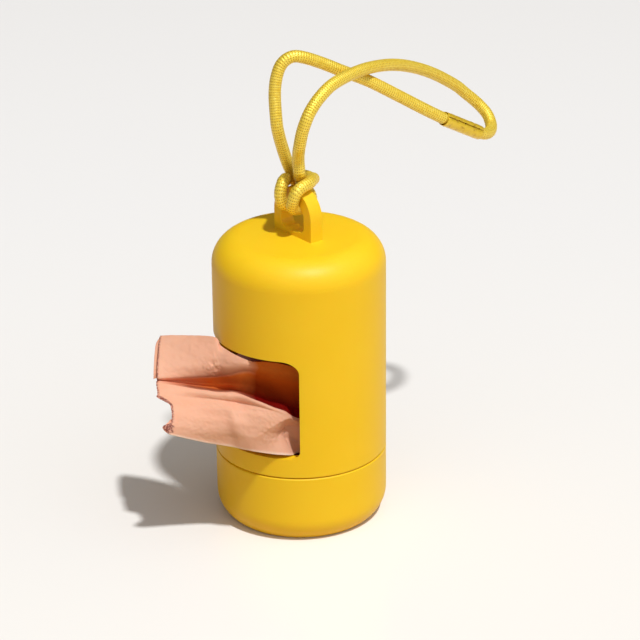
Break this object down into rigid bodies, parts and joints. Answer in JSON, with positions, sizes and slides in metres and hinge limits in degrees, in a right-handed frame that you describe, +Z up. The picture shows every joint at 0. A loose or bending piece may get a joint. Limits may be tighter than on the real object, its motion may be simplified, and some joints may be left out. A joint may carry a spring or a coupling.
{
  "type": "waste bag dispenser",
  "caption": "Round clip-on carrier for a roll of pet waste bags, with a dispensing window, screw-on base cap and a hitched wrist cord.",
  "frame": {"origin": "centre of the cap's flat base", "axes": "+Z up along the body's axis, -Y through the middle of the dispensing window, X along the lug plate"},
  "size_m": [0.042, 0.1064, 0.1168],
  "materials": {
    "casing": "soft-touch satin moulded plastic, mustard yellow",
    "core_board": "plain brown paper tube",
    "bag_film": "thin crinkled film, salmon pink",
    "cord_braid": "round braided elastic cord, yellow",
    "sleeve_metal": "crimped sleeve lacquered in the cord's yellow"
  },
  "bodies": {
    "shell": {"shell": "casing", "cord_hitch": "cord_braid"},
    "core": {"roll_core": "core_board"},
    "cap": {"base_cap": "casing"},
    "roll": {"bag_roll": "bag_film"},
    "strip": {"lead_bag": "bag_film"},
    "loop": {"cord_loop": "cord_braid", "cord_sleeve": "sleeve_metal"}
  },
  "joints": [
    {"name": "cap_travel", "type": "slide", "parent": "shell", "child": "core", "axis": [0, 0, -1], "range_m": [0, 0.006]},
    {"name": "cap_twist", "type": "hinge", "parent": "core", "child": "cap", "pos_m": [0, 0, 0.009], "axis": [0, 0, -1], "range_deg": [0, 720]},
    {"name": "roll_spin", "type": "hinge", "parent": "core", "child": "roll", "pos_m": [0, 0, 0.0328], "axis": [0, 0, -1], "range_deg": [0, 80]},
    {"name": "bag_pull", "type": "slide", "parent": "shell", "child": "strip", "axis": [-0.6, -0.8, 0], "range_m": [0, 0.02]},
    {"name": "loop_swing", "type": "hinge", "parent": "shell", "child": "loop", "pos_m": [-0.002, 0, 0.091], "axis": [1, 0, 0], "range_deg": [-14, 14]}
  ],
  "couplings": [
    {"joint": "cap_twist", "follows": "cap_travel", "rad_per_m": 2094.4},
    {"joint": "roll_spin", "follows": "bag_pull", "rad_per_m": 64.516}
  ]
}
